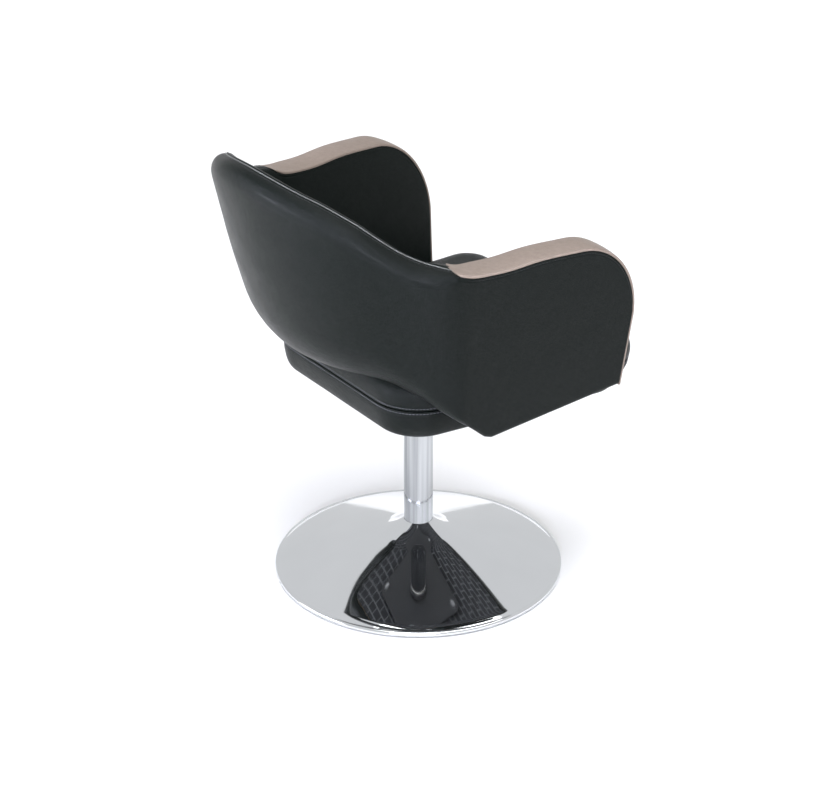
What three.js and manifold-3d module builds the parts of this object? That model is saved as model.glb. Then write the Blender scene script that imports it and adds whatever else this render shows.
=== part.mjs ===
// Styling chair on a round disc base. Millimetres, +Z up, the sitter faces -Y, +X is the sitter's left.
// The origin is on the floor, on the axis of the column.
import * as THREE from 'three';
import { mergeVertices } from 'three/addons/utils/BufferGeometryUtils.js';
import Module from 'manifold-3d';

const wasm = await Module();
wasm.setup();

const GAP = 0.3; // air left between neighbouring pieces
const ROUND_STEPS = 32; // facets round a turned piece

// Base and column
const BASE_RADIUS = 250;
const COVER_WALL = 2.6;
const COVER_LIP_Z = 2;
const RIM_ROLL = 5;
const CONE_OUTER = { r: 243, z: 11 };
const CONE_INNER = { r: 60, z: 66 };
const NECK_Z = 89;
const PAD_RADIUS = 236;
const PAD_THICK = 3;
const WEIGHT_RADIUS = 226;
const WEIGHT_TOP = 11.5;
const WEIGHT_BOSS = { r: 48, z: 20 };
const COUNTERBORE = { r: 20, z: 13 };
const COLUMN_RADIUS = 25;
const COLUMN_WALL = 3;
const FOOT_BOLT_RADIUS = 6;
const FOOT_PLUG_TOP = 48;

// Swivel, measured down from the underside of the seat
const SEAT_UNDERSIDE = 357.4;
const PLATE_SIZE = 190;
const PLATE_THICK = 5;
const PLATE_BOLT_OFFSET = 78;
const HUB_RADIUS = 28;
const HUB_HEIGHT = 14;
const THRUST_THICK = 4;
const BUSH_FLANGE = 3;
const BUSH_LENGTH = 25;
const SPINDLE_RADIUS = 12.5;
const SPINDLE_BOTTOM = 168;
const CLIP_Z = 172;
const CLIP_THICK = 2;
const BUSH_CLEARANCE = 0.1;
const BOLT_RADIUS = 4;

// Seat
const SEAT_REAR_Y = 170;
const SEAT_FRONT_Y = -286;
const SEAT_SIDE_X = 213; // half width where the arms begin
const SEAT_SIDE_Y = 53;
const SEAT_SPLAY = 0.086; // the sides open towards the front, as the arms do
const SEAT_REAR_CORNER = 80;
const SEAT_FRONT_CORNER = 52;
const SEAM_Z = 409;
const SEAT_TOP_Z = 454;
const BOARD_INSET = 26;
const BOARD_FRONT_CUT = 26;
const BOARD_Z = 360.4;
const BOARD_THICK = 15;
const RAIL = { x: 168, width: 22, height: 26, rear: 85, front: -95 };

// Shell: the wall that runs round the back and along both arms. Its plan line is at REFERENCE_Z. A place on
// the wall is s, the distance along that line from the centre of the back, z, and depth in from the leather.
const REFERENCE_Z = 640;
const BACK_Y = 307;
const BACK_RADIUS = 341;
const BACK_ANGLE = THREE.MathUtils.degToRad(51.7);
const CORNER_RADIUS = 136;
const ARM_ANGLE = THREE.MathUtils.degToRad(84.8);
const BACK_LEAN = 0.242;
const ARM_LEAN = 0.113;
const BOW = { above: 0.00015, below: 0.0003 };
const BACK_ARC = BACK_RADIUS * BACK_ANGLE;
const CORNER_ARC = CORNER_RADIUS * (ARM_ANGLE - BACK_ANGLE);
const ARM_START = BACK_ARC + CORNER_ARC;

// Outline of the wall: the crest, the hem and the quarter ellipse at the front of each arm
const CREST = [
  [0, 793], [50, 789], [100, 779], [150, 766], [202, 743.5], [230, 726.5], [264, 706], [290, 693.5],
  [310, 686.5], [335, 681], [354, 677], [365, 673.5], [385, 669], [401, 667.5], [447, 667.5],
  [508, 673.5], [578, 673.5],
];
const HEM = [
  [0, 462], [80, 464], [160, 466], [207, 467], [249, 463], [290, 449.5], [325, 437], [388, 407], [439, 366],
];
const HEM_CORNER_S = 439;
const FRONT_FOOT = { s: 683, z: 408 };
const FRONT_CENTRE = { s: 578, z: 536.5 };
const FRONT_RADIUS = { s: 113, z: 137 };
const FRONT_STEPS = 7;

// Layers of the wall
const COVER_THICK = 12;
const COVER_EDGE = 3; // the leather alone, where the cover runs out at its edges
const FRAME_THICK = 12;
const BACK_THICK = 51;
const ARM_THICK = 57;
const BAND_THICK = 4;
const BAND_START_S = 354;
const BAND_CUT = 11; // the rear end of the band is cut on a slant
const BAND_REAR_GAP = 2.5;
const BACK_CREST_DEPTH = 42;
// Roundings of the leather, deep and tall, and how deep the inner pad is rounded
const TOP_ROLL = { back: 29, arm: 2.5, tall: 1.25 };
const HEM_ROLL = { back: 34, arm: 8, tall: 2.05 };
const PAD_ROLL = { top: 6, bottom: 14 };
const PAD_JOIN_S = 308;
const FRAME_SPAN = { back: [0.2, 0.86], arm: [0.035, 0.95] }; // shares of the wall's height
const ARM_BOLT = { z: 394, y: [37, -43], head: 6.5, headLength: 5.5, tip: 258 };

const COLOURS = {
  leather: { color: 0x2b3130, roughness: 0.5, metalness: 0 },
  innerLeather: { color: 0x272c2b, roughness: 0.5, metalness: 0 },
  band: { color: 0xac9b93, roughness: 0.5, metalness: 0 },
  chrome: { color: 0xd6d9da, roughness: 0.08, metalness: 1 },
  steel: { color: 0x8d9093, roughness: 0.4, metalness: 1 },
  blackSteel: { color: 0x1c1d1e, roughness: 0.5, metalness: 0.6 },
  iron: { color: 0x3c3d3e, roughness: 0.7, metalness: 0.8 },
  nylon: { color: 0xd9d6cb, roughness: 0.6, metalness: 0 },
  rubber: { color: 0x18191a, roughness: 0.9, metalness: 0 },
  plywood: { color: 0xc49a64, roughness: 0.8, metalness: 0 },
  beech: { color: 0xc99f6f, roughness: 0.7, metalness: 0 },
  lining: { color: 0x121314, roughness: 1, metalness: 0 },
};

const chair = new THREE.Group();

function add(name, geometry, colour) {
  const mesh = new THREE.Mesh(geometry, new THREE.MeshStandardMaterial(COLOURS[colour]));
  mesh.name = name;
  chair.add(mesh);
}

// ---- Geometry helpers ----

const smooth = (x, from, to) => THREE.MathUtils.smoothstep(x, from, to);
const mix = THREE.MathUtils.lerp;
const range = (count) => Array.from({ length: count }, (_, i) => i);

// A smooth curve through points in order of their first value, read as a function of it.
function curveThrough(points) {
  const slope = points.map((_, i) => {
    const a = points[Math.max(i - 1, 0)];
    const b = points[Math.min(i + 1, points.length - 1)];
    return (b[1] - a[1]) / (b[0] - a[0]);
  });
  slope[0] = 0;
  return (x) => {
    const last = points.length - 2;
    let i = 0;
    while (i < last && x > points[i + 1][0]) i += 1;
    const [x0, y0] = points[i];
    const [x1, y1] = points[i + 1];
    const width = x1 - x0;
    const t = (x - x0) / width;
    const rise = y1 - y0;
    const a = slope[i] * width - rise;
    const b = rise - slope[i + 1] * width;
    return mix(y0, y1, t) + t * (1 - t) * (a * (1 - t) + b * t);
  };
}

// A turned solid about Z from a closed profile of [r, z] points, counter-clockwise with r to the right.
function turned(profile, steps = ROUND_STEPS) {
  const points = [...profile, profile[0]].map(([r, z]) => new THREE.Vector2(r, z));
  return new THREE.LatheGeometry(points, steps).rotateX(Math.PI / 2);
}

const ring = (inner, outer, low, high, steps) =>
  turned([[inner, low], [outer, low], [outer, high], [inner, high]], steps);

const rod = (radius, low, high, steps = 16) =>
  new THREE.CylinderGeometry(radius, radius, high - low, steps)
    .rotateX(Math.PI / 2)
    .translate(0, 0, (low + high) / 2);

// A rod along X between two places on one side of the chair.
const crossRod = (radius, from, to, y, z, steps = 12) =>
  new THREE.CylinderGeometry(radius, radius, Math.abs(to - from), steps)
    .rotateZ(Math.PI / 2)
    .translate((from + to) / 2, y, z);

function block(x0, x1, y0, y1, z0, z1) {
  const size = [x1 - x0, y1 - y0, z1 - z0].map(Math.abs);
  return new THREE.BoxGeometry(...size).translate((x0 + x1) / 2, (y0 + y1) / 2, (z0 + z1) / 2);
}

// A closed solid from vertices and faces of three or more corners, each counter-clockwise from outside.
function faceted(vertices, faces) {
  const geometry = new THREE.BufferGeometry();
  const fan = (face) => range(face.length - 2).flatMap((i) => [face[0], face[i + 1], face[i + 2]]);
  const positions = vertices.flatMap((v) => v.toArray());
  geometry.setAttribute('position', new THREE.Float32BufferAttribute(positions, 3));
  geometry.setIndex(faces.flatMap(fan));
  return geometry;
}

// A solid lofted through rings that all have the same number of points, closed by a cap at each end.
// The points run counter-clockwise as seen from the far end.
function lofted(rings) {
  const n = rings[0].length;
  const faces = [];
  range(rings.length - 1).forEach((i) => {
    range(n).forEach((j) => {
      const next = (j + 1) % n;
      faces.push([i * n + j, i * n + next, (i + 1) * n + next, (i + 1) * n + j]);
    });
  });
  faces.push(range(n).reverse());
  faces.push(range(n).map((j) => (rings.length - 1) * n + j));
  return faceted(rings.flat(), faces);
}

// A slab between two grids of points, near and far, closed along its four edges. Seen from the near side,
// the first index runs to the left and the second runs up.
function slab(near, far) {
  const rows = near.length;
  const columns = near[0].length;
  const at = (side, i, j) => side * rows * columns + i * columns + j;
  const faces = [];
  range(rows - 1).forEach((i) => {
    range(columns - 1).forEach((j) => {
      faces.push([at(0, i, j), at(0, i, j + 1), at(0, i + 1, j + 1), at(0, i + 1, j)]);
      faces.push([at(1, i, j), at(1, i + 1, j), at(1, i + 1, j + 1), at(1, i, j + 1)]);
    });
    faces.push([at(0, i, 0), at(0, i + 1, 0), at(1, i + 1, 0), at(1, i, 0)]);
    const top = columns - 1;
    faces.push([at(0, i + 1, top), at(0, i, top), at(1, i, top), at(1, i + 1, top)]);
  });
  range(columns - 1).forEach((j) => {
    faces.push([at(0, 0, j + 1), at(0, 0, j), at(1, 0, j), at(1, 0, j + 1)]);
    const end = rows - 1;
    faces.push([at(0, end, j), at(0, end, j + 1), at(1, end, j + 1), at(1, end, j)]);
  });
  return faceted([...near.flat(), ...far.flat()], faces);
}

function toSolid(geometry) {
  const plain = geometry.clone();
  plain.deleteAttribute('normal');
  plain.deleteAttribute('uv');
  const merged = mergeVertices(plain, 1e-4);
  const vertProperties = new Float32Array(merged.attributes.position.array);
  const triVerts = new Uint32Array(merged.index.array);
  return new wasm.Manifold(new wasm.Mesh({ numProp: 3, vertProperties, triVerts }));
}

function fromSolid(solid) {
  const mesh = solid.getMesh();
  const geometry = new THREE.BufferGeometry();
  geometry.setAttribute('position', new THREE.BufferAttribute(mesh.vertProperties, 3));
  geometry.setIndex(new THREE.BufferAttribute(mesh.triVerts, 1));
  return geometry;
}

const cut = (body, tools) =>
  fromSolid(tools.reduce((solid, tool) => solid.subtract(toSolid(tool)), toSolid(body)));

// ---- Base and column ----

// The visible face of the base: rim, long shallow cone, then a flare up to the column.
function coverFace(wall) {
  const neckRadius = COLUMN_RADIUS + GAP;
  const flare = new THREE.QuadraticBezierCurve(
    new THREE.Vector2(CONE_INNER.r, CONE_INNER.z),
    new THREE.Vector2(neckRadius + 6, 75),
    new THREE.Vector2(neckRadius, NECK_Z),
  );
  const rim = range(3).map((i) => {
    const angle = (i / 2) * (Math.PI / 2 - 0.3);
    const radius = RIM_ROLL - wall * 0.5;
    return [
      BASE_RADIUS - RIM_ROLL - wall * 0.5 + radius * Math.cos(angle),
      RIM_ROLL - wall * 0.5 + radius * Math.sin(angle),
    ];
  });
  const drop = wall ? wall + 0.15 : 0;
  const edge = [BASE_RADIUS - wall, COVER_LIP_Z];
  const cone = [CONE_OUTER.r - wall, CONE_OUTER.z - drop];
  const slope = flare.getPoints(4).map((p) => [Math.max(p.x, neckRadius), p.y - drop]);
  return [edge, ...rim, cone, ...slope];
}

function buildBase() {
  const outside = coverFace(0);
  const inside = coverFace(COVER_WALL).reverse();
  add('base_cover', turned([...outside, ...inside], 48), 'chrome');

  add('floor_pad', rod(PAD_RADIUS, 0, PAD_THICK, 48), 'rubber');

  const bottom = PAD_THICK + GAP;
  const bore = FOOT_BOLT_RADIUS + 0.5;
  const weight = [
    [bore, COUNTERBORE.z], [COUNTERBORE.r, COUNTERBORE.z], [COUNTERBORE.r, bottom],
    [WEIGHT_RADIUS, bottom], [WEIGHT_RADIUS, WEIGHT_TOP], [WEIGHT_BOSS.r + 12, WEIGHT_TOP],
    [WEIGHT_BOSS.r, WEIGHT_BOSS.z], [bore, WEIGHT_BOSS.z],
  ];
  add('base_weight', turned(weight, 48), 'iron');
}

function buildColumn() {
  const foot = WEIGHT_BOSS.z + GAP;
  const inner = COLUMN_RADIUS - COLUMN_WALL;
  add('column_tube', ring(inner, COLUMN_RADIUS, foot, tubeTop(), 40), 'chrome');
  add('column_foot_plug', ring(FOOT_BOLT_RADIUS + GAP, inner - GAP, foot, FOOT_PLUG_TOP), 'steel');

  const washerTop = COUNTERBORE.z - GAP;
  const washerBottom = washerTop - 2;
  add('foot_washer', ring(FOOT_BOLT_RADIUS + GAP, 17, washerBottom, washerTop), 'steel');

  const headTop = washerBottom - GAP;
  const headBottom = PAD_THICK + 2 * GAP;
  const head = rod(10, headBottom, headTop, 6);
  const shank = rod(FOOT_BOLT_RADIUS, headTop - 0.5, FOOT_PLUG_TOP - 4, 16);
  add('foot_bolt', fromSolid(toSolid(head).add(toSolid(shank))), 'steel');
}

// ---- Swivel ----

const plateBottom = () => SEAT_UNDERSIDE - GAP - PLATE_THICK;
const hubBottom = () => plateBottom() - GAP - HUB_HEIGHT;
const thrustBottom = () => hubBottom() - GAP - THRUST_THICK;
const flangeBottom = () => thrustBottom() - GAP - BUSH_FLANGE;
const tubeTop = () => flangeBottom() - GAP;

function buildSwivelBearings() {
  const bore = SPINDLE_RADIUS + BUSH_CLEARANCE;
  const outer = COLUMN_RADIUS - COLUMN_WALL - GAP;
  const upper = [
    [bore, tubeTop() - BUSH_LENGTH], [outer, tubeTop() - BUSH_LENGTH], [outer, flangeBottom()],
    [COLUMN_RADIUS, flangeBottom()], [COLUMN_RADIUS, flangeBottom() + BUSH_FLANGE],
    [bore, flangeBottom() + BUSH_FLANGE],
  ];
  const lowerBottom = CLIP_Z + CLIP_THICK + 2;
  add('upper_bush', turned(upper), 'nylon');
  add('lower_bush', ring(bore, outer, lowerBottom, lowerBottom + BUSH_LENGTH), 'nylon');
  add('thrust_bearing', ring(SPINDLE_RADIUS + 0.5, 24, thrustBottom(), hubBottom() - GAP), 'steel');
}

function buildSpindle() {
  const top = SEAT_UNDERSIDE - 2 * GAP;
  const grooveLow = CLIP_Z - GAP;
  const grooveHigh = CLIP_Z + CLIP_THICK + GAP;
  const grooveRadius = SPINDLE_RADIUS - 1.5;
  const profile = [
    [0, SPINDLE_BOTTOM], [SPINDLE_RADIUS - 1, SPINDLE_BOTTOM], [SPINDLE_RADIUS, SPINDLE_BOTTOM + 1],
    [SPINDLE_RADIUS, grooveLow], [grooveRadius, grooveLow], [grooveRadius, grooveHigh],
    [SPINDLE_RADIUS, grooveHigh], [SPINDLE_RADIUS, top], [0, top],
  ];
  add('swivel_spindle', turned(profile), 'steel');

  const clip = new THREE.Shape();
  const opening = 0.35;
  clip.absarc(0, 0, SPINDLE_RADIUS + 4, opening, 2 * Math.PI - opening, false);
  clip.absarc(0, 0, grooveRadius + GAP, 2 * Math.PI - opening, opening, true);
  const depth = CLIP_THICK;
  const spring = new THREE.ExtrudeGeometry(clip, { depth, bevelEnabled: false, curveSegments: 14 });
  add('spindle_clip', spring.translate(0, 0, CLIP_Z), 'steel');
}

const CORNERS = [[1, 1], [-1, 1], [-1, -1], [1, -1]];
const PLATE_BOLTS = CORNERS.map(([i, j]) => [i * PLATE_BOLT_OFFSET, j * PLATE_BOLT_OFFSET]);

const boltHoles = (low, high) =>
  PLATE_BOLTS.map(([x, y]) => rod(BOLT_RADIUS + GAP, low, high).translate(x, y, 0));

function buildSeatPlate() {
  const low = plateBottom();
  const half = PLATE_SIZE / 2;
  const corner = 18;
  const centres = CORNERS.map(([i, j]) => [i * (half - corner), j * (half - corner)]);
  const shape = new THREE.Shape(roundedOutline(centres, CORNERS.map(() => corner), 4));
  const sheet = new THREE.ExtrudeGeometry(shape, { depth: PLATE_THICK, bevelEnabled: false });
  const centreHole = rod(SPINDLE_RADIUS + GAP, low - 1, low + PLATE_THICK + 1, ROUND_STEPS);
  const holes = [centreHole, ...boltHoles(low - 1, low + PLATE_THICK + 1)];
  add('seat_plate', cut(sheet.translate(0, 0, low), holes), 'blackSteel');

  const hubTop = low - GAP;
  add('swivel_hub', ring(SPINDLE_RADIUS + GAP, HUB_RADIUS, hubTop - HUB_HEIGHT, hubTop), 'blackSteel');

  PLATE_BOLTS.forEach(([x, y], i) => {
    const head = rod(6.5, low - GAP - 5, low - GAP, 6);
    const shank = rod(BOLT_RADIUS, low - GAP - 0.5, BOARD_Z + BOARD_THICK - 2, 12);
    const bolt = fromSolid(toSolid(head).add(toSolid(shank)));
    add(`plate_bolt_${i + 1}`, bolt.translate(x, y, 0), 'steel');
  });
}

// ---- Seat ----

// A rounded outline from the centres of its corner arcs, counter-clockwise, pulled in by inset.
function roundedOutline(centres, radii, steps, inset = 0) {
  const points = [];
  centres.forEach(([x, y], i) => {
    const before = centres[(i + 3) % 4];
    const after = centres[(i + 1) % 4];
    const start = edgeAngle(before, [x, y], radii[(i + 3) % 4], radii[i]);
    const end = edgeAngle([x, y], after, radii[i], radii[(i + 1) % 4]);
    const turn = (end - start + 4 * Math.PI) % (2 * Math.PI);
    const radius = radii[i] - inset;
    range(steps + 1).forEach((k) => {
      const angle = start + (turn * k) / steps;
      points.push(new THREE.Vector2(x + radius * Math.cos(angle), y + radius * Math.sin(angle)));
    });
  });
  return points;
}

// Direction of the outward normal of the straight line that touches two corner arcs.
function edgeAngle(a, b, radiusA, radiusB) {
  const along = Math.atan2(b[1] - a[1], b[0] - a[0]);
  const distance = Math.hypot(b[0] - a[0], b[1] - a[1]);
  return along - Math.PI / 2 - Math.asin((radiusB - radiusA) / distance);
}

const seatSide = (y) => SEAT_SIDE_X + SEAT_SPLAY * (SEAT_SIDE_Y - y);

function seatCentres(frontCut) {
  const rearY = SEAT_REAR_Y - SEAT_REAR_CORNER;
  const frontY = SEAT_FRONT_Y + SEAT_FRONT_CORNER + frontCut;
  const rearX = seatSide(rearY) - SEAT_REAR_CORNER;
  const frontX = seatSide(frontY) - SEAT_FRONT_CORNER;
  return [[rearX, rearY], [-rearX, rearY], [-frontX, frontY], [frontX, frontY]];
}

// Plan of the seat pulled in by inset all round, and by frontCut more along the front.
function seatOutline(inset, frontCut = 0) {
  const radii = [SEAT_REAR_CORNER, SEAT_REAR_CORNER, SEAT_FRONT_CORNER, SEAT_FRONT_CORNER];
  return roundedOutline(seatCentres(frontCut), radii, 6, inset);
}

// A stack of seat outlines. Shrink draws a level in towards the middle of the seat.
function seatStack(levels) {
  const middleY = (SEAT_REAR_Y + SEAT_FRONT_Y) / 2;
  return lofted(levels.map(({ inset, z, frontCut = 0, shrink = 1 }) =>
    seatOutline(inset, frontCut).map((p) =>
      new THREE.Vector3(p.x * shrink, middleY + (p.y - middleY) * shrink, z))));
}

const sides = [['left', 1], ['right', -1]];

const railBox = (side, extra) => block(
  side * (RAIL.x - extra), side * (RAIL.x + RAIL.width + extra),
  RAIL.front - extra, RAIL.rear + extra,
  BOARD_Z + BOARD_THICK + GAP - (extra ? 2 : 0), BOARD_Z + BOARD_THICK + GAP + RAIL.height + extra,
);

const armBoltHoles = (side) => ARM_BOLT.y.map((y) =>
  crossRod(BOLT_RADIUS + GAP, side * (RAIL.x - 4), side * (ARM_BOLT.tip + 40), y, ARM_BOLT.z));

function buildSeat() {
  const boardTop = BOARD_Z + BOARD_THICK;
  const pocket = BOARD_INSET - GAP;
  const base = seatStack([
    { inset: pocket, z: boardTop + GAP, frontCut: BOARD_FRONT_CUT },
    { inset: pocket, z: SEAT_UNDERSIDE, frontCut: BOARD_FRONT_CUT },
    { inset: 19, z: SEAT_UNDERSIDE, frontCut: 28 },
    { inset: 11, z: SEAT_UNDERSIDE + 4, frontCut: 26 },
    { inset: 5, z: SEAT_UNDERSIDE + 14, frontCut: 20 },
    { inset: 1.5, z: SEAT_UNDERSIDE + 29, frontCut: 11 },
    { inset: 0.5, z: SEAM_Z - 8, frontCut: 3 },
    { inset: 3, z: SEAM_Z - GAP },
  ]);
  const railSlots = sides.map(([, side]) => railBox(side, GAP));
  const boltHolesInBase = sides.flatMap(([, side]) => armBoltHoles(side));
  const headRoom = sides.flatMap(([, side]) => ARM_BOLT.y.map((y) =>
    crossRod(ARM_BOLT.head + 1, side * (RAIL.x - 14), side * RAIL.x, y, ARM_BOLT.z)));
  const slots = [...railSlots, ...boltHolesInBase, ...headRoom];
  add('seat_base_pad', cut(base, slots), 'leather');

  const cushion = seatStack([
    { inset: 5, z: SEAM_Z + GAP },
    { inset: 1.5, z: SEAM_Z + 3 },
    { inset: 0, z: SEAM_Z + 12 },
    { inset: 1.5, z: SEAT_TOP_Z - 22 },
    { inset: 7, z: SEAT_TOP_Z - 11 },
    { inset: 18, z: SEAT_TOP_Z - 4 },
    { inset: 36, z: SEAT_TOP_Z },
    { inset: 36, z: SEAT_TOP_Z + 4, shrink: 0.75 },
    { inset: 36, z: SEAT_TOP_Z + 6, shrink: 0.4 },
  ]);
  add('seat_cushion', cushion, 'leather');

  const sheet = (low, high) => {
    const shape = new THREE.Shape(seatOutline(BOARD_INSET, BOARD_FRONT_CUT));
    const plain = new THREE.ExtrudeGeometry(shape, { depth: high - low, bevelEnabled: false });
    return cut(plain.translate(0, 0, low), boltHoles(low - 1, high + 1));
  };
  add('seat_board', sheet(BOARD_Z, boardTop), 'plywood');
  add('seat_lining', sheet(SEAT_UNDERSIDE + GAP, BOARD_Z - GAP), 'lining');

  sides.forEach(([label, side]) => {
    add(`seat_rail_${label}`, cut(railBox(side, 0), armBoltHoles(side)), 'beech');
  });
}

// ---- Shell ----

const crestHeight = curveThrough(CREST);
const hemCurve = curveThrough(HEM);

function hemHeight(s) {
  if (s <= HEM_CORNER_S) return hemCurve(s);
  const foot = HEM[HEM.length - 1];
  return mix(foot[1], FRONT_FOOT.z, (s - foot[0]) / (FRONT_FOOT.s - foot[0]));
}

// Plan line of the wall: x to the side, y to the rear, and the outward direction there.
function planPoint(s) {
  const backEnd = [BACK_RADIUS * Math.sin(BACK_ANGLE), BACK_Y - BACK_RADIUS * (1 - Math.cos(BACK_ANGLE))];
  let angle = s / BACK_RADIUS;
  let x = BACK_RADIUS * Math.sin(angle);
  let y = BACK_Y - BACK_RADIUS * (1 - Math.cos(angle));
  if (s > BACK_ARC) {
    angle = Math.min(BACK_ANGLE + (s - BACK_ARC) / CORNER_RADIUS, ARM_ANGLE);
    const straight = Math.max(s - ARM_START, 0);
    x = backEnd[0] + CORNER_RADIUS * (Math.sin(angle) - Math.sin(BACK_ANGLE)) + straight * Math.cos(angle);
    y = backEnd[1] - CORNER_RADIUS * (Math.cos(BACK_ANGLE) - Math.cos(angle)) - straight * Math.sin(angle);
  }
  return { x, y, outX: Math.sin(angle), outY: Math.cos(angle) };
}

// The point of the wall at s, z and depth. A negative s is on the sitter's right.
function wallPoint(s, z, depth) {
  const p = planPoint(Math.abs(s));
  const rise = z - REFERENCE_Z;
  const rearward = Math.max(p.outY, 0);
  const lean = mix(ARM_LEAN, BACK_LEAN, rearward ** 1.5);
  const bow = rise > 0 ? BOW.above : BOW.below;
  const out = rise * lean - bow * rearward * rise * rise - depth;
  return new THREE.Vector3((s < 0 ? -1 : 1) * (p.x + p.outX * out), p.y + p.outY * out, z);
}

const armShare = (s) => smooth(Math.abs(s), 298, 418);
const hemShare = (s) => smooth(Math.abs(s), 190, 420);

// How far a rounded edge of the given depth has turned in at a distance from its tip.
function rolledIn(distance, depth, tall = 1) {
  const run = Math.max(distance, 0) / tall;
  return run < depth ? depth - Math.sqrt(depth ** 2 - (depth - run) ** 2) : 0;
}

const crestTurn = (s, below) =>
  rolledIn(below, mix(TOP_ROLL.back, TOP_ROLL.arm, armShare(s)), mix(TOP_ROLL.tall, 1, armShare(s)));
const hemTurn = (s, above) =>
  rolledIn(above, mix(HEM_ROLL.back, HEM_ROLL.arm, hemShare(s)), mix(HEM_ROLL.tall, 1, hemShare(s)));

const bandInset = (s) => (Math.abs(s) < BAND_START_S + 1 ? 0 : BAND_THICK + GAP);

// Columns of the wall from the hem to the crest, from the centre of the back to the front of one arm.
function wallColumns() {
  const backSteps = 10;
  const back = range(backSteps).map((i) => (BACK_ARC * i) / backSteps);
  const corner = [BACK_ARC, 324, 338, BAND_START_S, BAND_START_S + BAND_CUT, 374];
  const arm = [ARM_START, 412, HEM_CORNER_S, 475, 520, FRONT_CENTRE.s];
  const upright = [...back, ...corner, ...arm].map((s) => ({
    hem: [s, hemHeight(s)],
    crest: [s, crestHeight(s) - bandInset(s)],
    edge: crestHeight(s),
  }));
  const inset = BAND_THICK + GAP;
  const front = range(FRONT_STEPS).map((i) => {
    const angle = ((i + 1) / FRONT_STEPS) * (Math.PI / 2);
    const hemS = mix(FRONT_CENTRE.s, FRONT_FOOT.s - inset, (i + 1) / FRONT_STEPS);
    const crestS = FRONT_CENTRE.s + (FRONT_RADIUS.s - inset) * Math.sin(angle);
    const crestZ = FRONT_CENTRE.z + (FRONT_RADIUS.z - inset) * Math.cos(angle);
    return { hem: [hemS, hemHeight(hemS)], crest: [crestS, crestZ], edge: crestZ + inset };
  });
  return [...upright, ...front];
}

const COLUMNS = wallColumns();
const HALF_COLUMNS = COLUMNS.length;
const PAD_JOIN = COLUMNS.findIndex((column) => column.hem[0] >= PAD_JOIN_S - 1);

// Heights of the rows as shares of the wall's height, closer together where the edges roll over.
const ROWS = [0, 0.02, 0.06, 0.12, 0.2, 0.33, 0.46, 0.6, 0.73, 0.86, 0.93, 0.975, 1];
const FRAME_ROWS = [0, 0.2, 0.4, 0.6, 0.8, 1];

// Mirrored columns for a piece that runs from one arm to the other.
function fullWidth(columns) {
  const mirrored = columns.slice(1).reverse().map((c) => ({ ...c, sign: -1 }));
  return [...mirrored, ...columns.map((c) => ({ ...c, sign: 1 }))];
}

// One face of a wall piece: depthAt gives the depth from s, the height above the hem and below the edge.
function wallFace(columns, rows, depthAt) {
  return columns.map(({ hem, crest, edge, sign = 1 }) => rows.map((share) => {
    const s = mix(hem[0], crest[0], share);
    const z = mix(hem[1], crest[1], share);
    return wallPoint(sign * s, z, depthAt(s, z - hem[1], edge - z));
  }));
}

const coverOutside = (s, above, below) =>
  hemTurn(s, above) + (bandInset(s) ? 0 : crestTurn(s, below));

const coverInside = (s, above, below) => Math.max(COVER_THICK, coverOutside(s, above, below) + COVER_EDGE);

const padOutside = (s, above, below) =>
  Math.max(COVER_THICK + FRAME_THICK + 2 * GAP, coverInside(s, above, below) + GAP);

// Inner face of the pads: thin at the crest of the back, full lower down, and even along the arms.
function padInside(s, above, below) {
  const crest = mix(BACK_CREST_DEPTH, ARM_THICK, armShare(s));
  const full = mix(BACK_THICK, ARM_THICK, smooth(Math.abs(s), 280, 400));
  const top = bandInset(s) ? 0 : rolledIn(below, mix(PAD_ROLL.top, 1.5, armShare(s)));
  const bottom = rolledIn(above, mix(PAD_ROLL.bottom, 1.5, armShare(s)));
  return mix(crest, full, smooth(below, 0, 170)) - top - bottom;
}

function mirrored(geometry) {
  const flipped = geometry.clone().scale(-1, 1, 1);
  const index = Array.from(flipped.index.array);
  range(index.length / 3).forEach((i) => {
    [index[3 * i], index[3 * i + 1]] = [index[3 * i + 1], index[3 * i]];
  });
  flipped.setIndex(index);
  return flipped;
}

function buildShellFrame() {
  const columns = fullWidth(COLUMNS.slice(0, HALF_COLUMNS - 2)).map((column) => {
    const share = armShare(column.hem[0]);
    const [low, high] = [0, 1].map((end) => mix(FRAME_SPAN.back[end], FRAME_SPAN.arm[end], share));
    const at = (t) => [mix(column.hem[0], column.crest[0], t), mix(column.hem[1], column.crest[1], t)];
    return { ...column, hem: at(low), crest: at(high) };
  });
  const near = wallFace(columns, FRAME_ROWS, () => COVER_THICK + GAP);
  const far = wallFace(columns, FRAME_ROWS, () => COVER_THICK + GAP + FRAME_THICK);
  const holes = sides.flatMap(([, side]) => armBoltHoles(side));
  add('shell_frame', cut(slab(near, far), holes), 'plywood');
}

function buildOuterCover() {
  const columns = fullWidth(COLUMNS);
  const near = wallFace(columns, ROWS, coverOutside);
  const far = wallFace(columns, ROWS, coverInside);
  add('outer_cover', slab(near, far), 'leather');
}

function buildBackPad() {
  const columns = fullWidth(COLUMNS.slice(0, PAD_JOIN + 1));
  const near = wallFace(columns, ROWS, padOutside);
  const far = wallFace(columns, ROWS, padInside);
  add('back_pad', slab(near, far), 'innerLeather');
}

function buildArmPads() {
  const join = COLUMNS[PAD_JOIN];
  const shift = ([s, z]) => [s + GAP * 2, z];
  const first = { ...join, hem: shift(join.hem), crest: shift(join.crest) };
  const columns = [first, ...COLUMNS.slice(PAD_JOIN + 1)];
  const near = wallFace(columns, ROWS, padOutside);
  const far = wallFace(columns, ROWS, padInside);
  const left = cut(slab(near, far), armBoltHoles(1));
  add('arm_pad_left', left, 'innerLeather');
  add('arm_pad_right', mirrored(left), 'innerLeather');
}

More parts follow.
